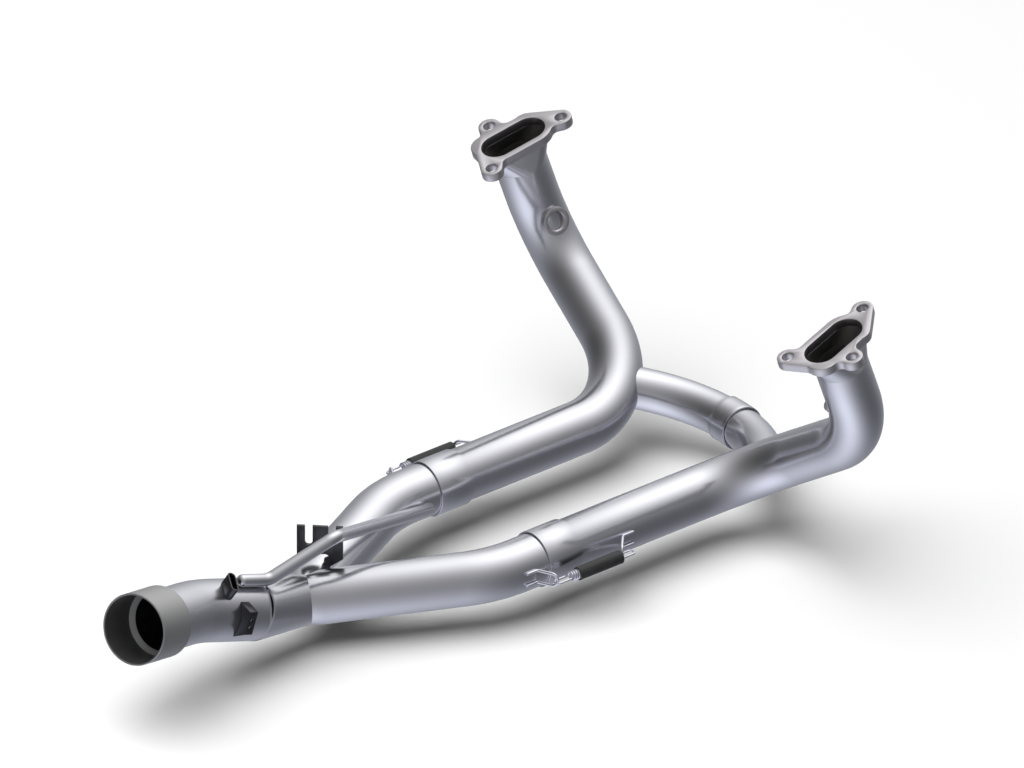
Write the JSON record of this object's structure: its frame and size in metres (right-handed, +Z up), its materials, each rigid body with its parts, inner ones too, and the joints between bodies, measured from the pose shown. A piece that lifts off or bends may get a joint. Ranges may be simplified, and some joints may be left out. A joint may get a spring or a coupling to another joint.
{
  "type": "decat pipe",
  "caption": "Twin-header motorcycle decat pipe: flanged headers joined by a crossover, slip-jointed branches on springs, one merge collector and an outlet sleeve.",
  "frame": {"origin": "centre of the outlet sleeve's mouth", "axes": "+Y forward along the straight pipes, +X to the right of the machine, +Z up"},
  "size_m": [0.4956, 0.6771, 0.2373],
  "materials": {
    "pipe_steel": "bright drawn stainless tube",
    "plate_steel": "satin stainless plate",
    "sleeve_steel": "matte stainless sleeve",
    "bracket_steel": "satin stainless sheet",
    "wire_steel": "bright stainless wire",
    "rubber": "matte black rubber"
  },
  "bodies": {
    "root": {"left_flange": "plate_steel", "right_flange": "plate_steel", "left_neck": "pipe_steel", "right_neck": "pipe_steel", "left_header_tube": "pipe_steel", "right_header_tube": "pipe_steel", "left_port_bend": "pipe_steel", "right_port_bend": "pipe_steel", "left_sensor_boss": "plate_steel", "right_sensor_boss": "plate_steel", "crossover_tube": "pipe_steel", "crossover_stub": "pipe_steel", "left_branch_tube": "pipe_steel", "right_branch_tube": "pipe_steel", "merge_collector": "pipe_steel", "collector_body": "pipe_steel", "outlet_sleeve": "sleeve_steel", "left_header_hook": "wire_steel", "right_header_hook": "wire_steel", "left_branch_hook": "wire_steel", "right_branch_hook": "wire_steel", "left_spring": "wire_steel", "right_spring": "wire_steel", "left_spring_cover": "rubber", "right_spring_cover": "rubber", "brace_rod": "pipe_steel", "cable_bracket": "bracket_steel", "stop_socket": "bracket_steel", "channel_bracket": "bracket_steel"}
  },
  "joints": []
}
